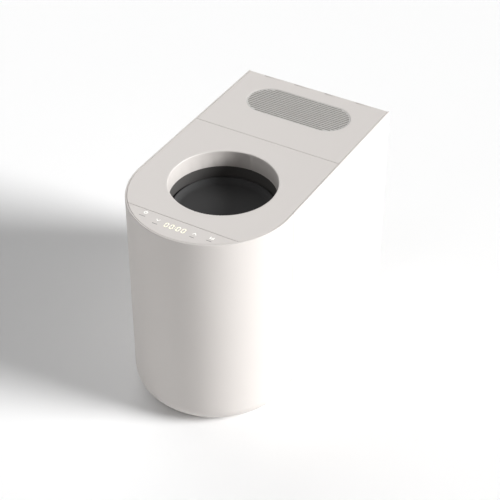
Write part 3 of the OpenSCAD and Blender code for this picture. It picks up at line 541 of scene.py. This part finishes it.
def grille_scrim():
    """Woven dust screen behind the grille's slots, inside the lip that the grille rests on."""
    low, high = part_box("exhaust_grille")
    inset, gap, cloth_t = 3 * MM, 0.6 * MM, 0.35 * MM
    radius = (high[1] - low[1]) / 2 - inset
    middle_y = (low[1] + high[1]) / 2
    level = low[2] - gap
    arc_steps = 24

    def scrim_shape(shape):
        rim = []
        for side, start in ((1, -90), (-1, 90)):
            middle_x = side * (high[0] - inset - radius)
            for k in range(arc_steps + 1):
                a = math.radians(start + 180 * k / arc_steps)
                rim.append((middle_x + radius * math.cos(a), middle_y + radius * math.sin(a)))
        rings = [ring_of(shape, [(x, y, z) for x, y in rim]) for z in (level, level + cloth_t)]
        skin(shape, rings)

    piece("dust_scrim", "grille_grey", "cover", scrim_shape)


def cross_head(shape, centre, radius, height):
    """Low domed screw head that faces +Y, with a cross recess."""
    around, steps = 48, 10
    arm_w, arm_reach, recess_level = 0.17 * radius, 0.62 * radius, 0.15
    rings = []
    for k in range(steps, 0, -1):
        share = k / steps
        points = []
        for i in range(around):
            angle = math.tau * i / around
            u, v = radius * share * math.cos(angle), radius * share * math.sin(angle)
            in_recess = min(abs(u), abs(v)) < arm_w and max(abs(u), abs(v)) < arm_reach
            level = height * (1 - share**4) * (recess_level if in_recess else 1.0)
            points.append((centre[0] + u, centre[1] + level, centre[2] + v))
        rings.append(ring_of(shape, points))
    skin(shape, rings)


def back_screw_heads():
    """Six heads on the back panel, over the CAD's screw shanks."""
    low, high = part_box("back_screws")
    shank_r, head_r, head_h = 1.6 * MM, 3 * MM, 0.5 * MM
    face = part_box("back_panel")[1][1]

    def heads(shape):
        for x in (low[0] + shank_r, high[0] - shank_r):
            for z in (low[2] + shank_r, (low[2] + high[2]) / 2, high[2] - shank_r):
                cross_head(shape, (x, face, z), head_r, head_h)

    piece("back_screw_heads", "screw_steel", "chassis", heads, smooth=30)


def cap_screw(shape, x, y, z, radius, height, up=(0, 0, 1)):
    """Socket-head screw that stands on a face whose outward direction is up."""
    up = Vector(up)
    side = up.orthogonal().normalized()
    over = up.cross(side)
    base = Vector((x, y, z))
    around = 24
    outline = ((1.0, 0.0), (1.0, 0.85), (0.88, 1.0))
    socket = ((0.5, 1.0), (0.46, 0.4))
    rings = []
    for share, lift in outline + socket:
        points = []
        for k in range(around):
            a = math.tau * k / around
            reach = radius * share
            if (share, lift) in socket:
                reach *= 0.9 / max(abs(math.cos(a % (math.pi / 3) - math.pi / 6)), 0.5)
            out = (side * math.cos(a) + over * math.sin(a)) * reach
            points.append(base + out + up * height * lift)
        rings.append(ring_of(shape, points))
    skin(shape, rings)


def gearbox_details():
    """Cooling ribs on the gearbox's sides and the screws that hold the motor to it."""
    low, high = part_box("gearbox")
    motor_low, motor_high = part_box("drive_motor")
    middle_y = (motor_low[1] + motor_high[1]) / 2
    rib_count, rib_out, rib_half = 7, 2.2 * MM, 0.9 * MM
    rib_low, rib_high = low[2] + 5 * MM, high[2] - 8 * MM
    screw_circle = (motor_high[0] - motor_low[0]) / 2 + 4.5 * MM
    screw_r, screw_h, land = 2.6 * MM, 2.4 * MM, 3 * MM

    def ribs(shape):
        for x0, x1 in ((low[0] - rib_out, low[0]), (high[0], high[0] + rib_out)):
            for k in range(rib_count):
                y = low[1] + (high[1] - low[1]) * (k + 1) / (rib_count + 1)
                box_into(shape, (x0, y - rib_half, rib_low), (x1, y + rib_half, rib_high))

    def screws(shape):
        for bearing in (45, 135, 225, 315):
            a = math.radians(bearing)
            x, y = screw_circle * math.cos(a), middle_y + screw_circle * math.sin(a)
            if low[0] + land < x < high[0] - land and low[1] + land < y < high[1] - land:
                cap_screw(shape, x, y, low[2], screw_r, screw_h, up=(0, 0, -1))

    piece("gearbox_ribs", "gearbox_metal", "chassis", ribs)
    piece("gearbox_screws", "screw_steel", "chassis", screws)


def motor_details():
    """Rolled flux ring round the motor and its two terminals."""
    low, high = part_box("drive_motor")
    x, y = middle_of(low, high)
    inner = (high[0] - low[0]) / 2
    outer = inner + 1.4 * MM
    band_low, band_high = low[2] + 18 * MM, low[2] + 46 * MM
    around = 96
    tab_apart, tab_half, tab_t = 9 * MM, 2.4 * MM, 0.8 * MM
    tab_y = high[1] - 9 * MM
    tab_low, tab_high = low[2] - 1 * MM, low[2] + 8 * MM

    def band(shape):
        rings = []
        for radius, z in ((inner, band_low), (outer, band_low), (outer, band_high), (inner, band_high)):
            angles = [math.tau * (k + 0.5) / around for k in range(around)]
            points = [(x + radius * math.cos(a), y + radius * math.sin(a), z) for a in angles]
            rings.append(ring_of(shape, points))
        skin(shape, rings, loop=True)

    def terminals(shape):
        for tab_x in (x - tab_apart, x + tab_apart):
            box_into(shape, (tab_x - tab_half, tab_y, tab_low), (tab_x + tab_half, tab_y + tab_t, tab_high))

    piece("motor_flux_ring", "frame_steel", "chassis", band)
    piece("motor_terminals", "bronze", "chassis", terminals)


def supply_details():
    """Raised vents on the power supply's lid, and its terminal block with a screw in each bay."""
    low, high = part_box("power_supply")
    vent_half_w, vent_half_l, vent_h = 1.3 * MM, 7 * MM, 0.7 * MM
    bays = 5
    block_left, block_right = low[0] + 8 * MM, high[0] - 8 * MM
    block_low, block_high = low[2] + 8 * MM, low[2] + 20 * MM
    block_front, block_d = high[1], 9 * MM
    wall_half, wall_h = 0.6 * MM, 5 * MM
    screw_r, screw_h = 3 * MM, 2 * MM

    def vents(shape):
        for row in (0.3, 0.66):
            for k in range(9):
                x = low[0] + (high[0] - low[0]) * (k + 1) / 10
                y = low[1] + (high[1] - low[1]) * row
                corner = (x + vent_half_w, y + vent_half_l, high[2] + vent_h)
                box_into(shape, (x - vent_half_w, y - vent_half_l, high[2]), corner)

    def bay_x(place):
        return block_left + (block_right - block_left) * place / bays

    def block(shape):
        y0, y1 = block_front, block_front + block_d
        box_into(shape, (block_left, y0, block_low), (block_right, y1, block_high))
        for k in range(bays + 1):
            x = bay_x(k)
            box_into(shape, (x - wall_half, y0, block_high), (x + wall_half, y1, block_high + wall_h))

    def screws(shape):
        for k in range(bays):
            cap_screw(shape, bay_x(k + 0.5), block_front + block_d / 2, block_high, screw_r, screw_h)

    piece("supply_vents", "frame_steel", "chassis", vents)
    piece("supply_terminal_block", "black_plastic", "chassis", block)
    piece("supply_terminal_screws", "slide_zinc", "chassis", screws)


def along(points, share):
    """A place on a smooth curve through the points, share running from 0 to 1."""
    spans = len(points) - 1
    k = min(int(share * spans), spans - 1)
    t = share * spans - k
    a, b, c, d = (Vector(points[min(max(k + j, 0), spans)]) for j in (-1, 0, 1, 2))
    return 0.5 * ((2 * b) + (c - a) * t + (2 * a - 5 * b + 4 * c - d) * t**2 + (3 * b - a - 3 * c + d) * t**3)


def lead(name, slot, points, strands=2, strand_r=0.9 * MM):
    """Inner wiring: strands twisted round each other along a curve."""
    twist, step = 16 * MM, 1.6 * MM
    length = sum((Vector(b) - Vector(a)).length for a, b in zip(points, points[1:]))
    count = max(12, int(length / step))
    spread = strand_r * (1.05 if strands == 2 else 1.2)
    corners = [math.tau * k / 8 for k in range(8)]

    def shape_it(shape):
        spine = [along(points, i / count) for i in range(count + 1)]
        for strand in range(strands):
            rings = []
            side = Vector((0.31, 0.87, 0.38)).normalized()
            for i, middle in enumerate(spine):
                ahead = (spine[min(i + 1, count)] - spine[max(i - 1, 0)]).normalized()
                side = (side - ahead * side.dot(ahead)).normalized()
                over = ahead.cross(side)
                turn = math.tau * (i / count * length / twist + strand / strands)
                core = middle + (side * math.cos(turn) + over * math.sin(turn)) * spread
                section = [core + (side * math.cos(a) + over * math.sin(a)) * strand_r for a in corners]
                rings.append(ring_of(shape, section))
            skin(shape, rings)

    piece(name, slot, "chassis", shape_it, smooth=80)


def wiring():
    """Leads between the boards, the motor, the fan, the inlet and the display.

    The ends follow the boxes of the pieces that they join, and the points between were chosen.
    """
    board_low, board_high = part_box("control_board")
    fan_low, fan_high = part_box("fan_frame")
    motor_low, motor_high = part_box("drive_motor")
    supply_low, supply_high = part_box("power_supply")
    inlet_low, inlet_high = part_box("power_inlet")
    display_low, display_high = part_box("display_board")
    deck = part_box("top_frame")[1][2]
    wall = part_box("back_panel")[0][1]
    plug_y = board_low[1] + 15 * MM
    inlet_x = (inlet_low[0] + inlet_high[0]) / 2
    lead("fan_lead", "black_plastic", (
        (fan_high[0] - 6 * MM, fan_high[1] - 2 * MM, fan_low[2] + 6 * MM),
        (fan_high[0] + 6 * MM, wall - 14 * MM, fan_low[2] - 8 * MM),
        (fan_high[0] + 14 * MM, wall - 12 * MM, 240 * MM),
        (fan_high[0] + 16 * MM, wall - 14 * MM, board_high[2] + 30 * MM),
        (fan_high[0] + 12 * MM, plug_y, board_high[2] - 1 * MM),
    ))
    lead("motor_lead", "belt_rubber", (
        (0, motor_high[1] - 3 * MM, motor_low[2] + 6 * MM),
        (4 * MM, motor_high[1] + 14 * MM, motor_low[2] - 6 * MM),
        (board_low[0] - 8 * MM, board_low[1] - 6 * MM, motor_low[2] - 4 * MM),
        (board_low[0] + 2 * MM, plug_y, motor_low[2] + 4 * MM),
    ), strand_r=1.3 * MM)
    lead("mains_lead", "black_plastic", (
        (inlet_x, inlet_low[1] + 1 * MM, (inlet_low[2] + inlet_high[2]) / 2),
        (inlet_x, inlet_low[1] - 14 * MM, inlet_low[2] + 8 * MM),
        (inlet_x + 6 * MM, inlet_low[1] - 26 * MM, supply_high[2] + 12 * MM),
        (inlet_x + 8 * MM, inlet_low[1] - 30 * MM, supply_high[2] - 0.5 * MM),
    ), strands=3, strand_r=1.2 * MM)
    lead("supply_lead", "belt_rubber", (
        (supply_high[0] - 1 * MM, plug_y, supply_high[2] - 12 * MM),
        (supply_high[0] + 9 * MM, plug_y + 6 * MM, supply_high[2] - 6 * MM),
        (board_low[0] - 8 * MM, plug_y + 6 * MM, supply_high[2] + 6 * MM),
        (board_low[0] + 1 * MM, plug_y, supply_high[2] + 4 * MM),
    ))
    lead("display_lead", "black_plastic", (
        (display_high[0] - 4 * MM, display_high[1] - 2 * MM, display_low[2] + 6 * MM),
        (display_high[0] + 26 * MM, -196 * MM, deck + 3 * MM),
        (136 * MM, -130 * MM, deck + 2.6 * MM),
        (139 * MM, 0, deck + 2.6 * MM),
        (138 * MM, 60 * MM, deck + 2.6 * MM),
        (134 * MM, 125 * MM, deck - 6 * MM),
        (130 * MM, 180 * MM, 300 * MM),
        (118 * MM, wall - 22 * MM, 200 * MM),
        (board_high[0] - 6 * MM, plug_y + 8 * MM, board_high[2] + 12 * MM),
        (board_high[0] - 10 * MM, plug_y, board_high[2] - 1 * MM),
    ), strands=3)


# ---------- setting ----------


def camera():
    """Long lens from the front right, looking down at 38 degrees."""
    place = (1.0537, -1.8051, 1.8449)
    back = Vector((0.39563, -0.68170, 0.61545))
    right = Vector((0.8649, 0.50195, 0.0))
    up = back.cross(right).normalized()
    right = up.cross(back).normalized()
    turn = Matrix((right, up, back.normalized())).transposed()
    data = bpy.data.cameras.new("camera")
    data.sensor_width = 36
    data.lens = 101.5
    data.clip_end = 30
    thing = bpy.data.objects.new("camera", data)
    thing.matrix_world = Matrix.Translation(place) @ turn.to_4x4()
    bpy.context.scene.collection.objects.link(thing)
    bpy.context.scene.camera = thing


def floor():
    """Plain pale floor on which the machine stands."""
    mesh = bpy.data.meshes.new("floor")
    shape = bmesh.new()
    bmesh.ops.create_grid(shape, x_segments=2, y_segments=2, size=14)
    shape.to_mesh(mesh)
    shape.free()
    thing = bpy.data.objects.new("floor", mesh)
    bpy.context.scene.collection.objects.link(thing)
    finish = Finish("pale_floor")
    patch = finish.noise(0.6, detail=3)
    mesh.materials.append(
        finish.look(Base_Color=finish.shade((0.96, 0.96, 0.96), 0.01, patch), Roughness=0.85)
    )


def lamp(name, bearing, height, spread, strength):
    """A large soft source far off, with its angles in degrees.

    Bearing runs from the front towards the right, and height up from the floor.
    """
    data = bpy.data.lights.new(name, "SUN")
    data.angle = math.radians(spread)
    data.energy = strength * math.pi
    thing = bpy.data.objects.new(name, data)
    thing.rotation_euler = (math.radians(90 - height), 0, math.radians(bearing))
    bpy.context.scene.collection.objects.link(thing)


def sky(colour, strength):
    """Even light from all round."""
    world = bpy.data.worlds.new("studio_air")
    world.use_nodes = True
    shader = world.node_tree.nodes["Background"]
    shader.inputs["Color"].default_value = (*colour, 1)
    shader.inputs["Strength"].default_value = strength
    bpy.context.scene.world = world


def studio():
    """Key from the right and a little behind, softer light from the left, and a weak even sky."""
    lamp("key", bearing=106, height=24, spread=24, strength=1.6)
    lamp("left_rear_fill", bearing=228, height=40, spread=50, strength=0.27)
    lamp("left_fill", bearing=285, height=42, spread=50, strength=0.13)
    lamp("front_fill", bearing=345, height=38, spread=60, strength=0.13)
    sky(colour=(1, 1, 1), strength=0.03)
    bpy.context.scene.view_settings.view_transform = "Standard"


camera()
floor()
studio()
palette = finishes()
dress(palette)
soft_edges()
power_screw("left")
power_screw("right")
tilt_worm()
pleated_filter()
grille_scrim()
back_screw_heads()
gearbox_details()
motor_details()
supply_details()
wiring()
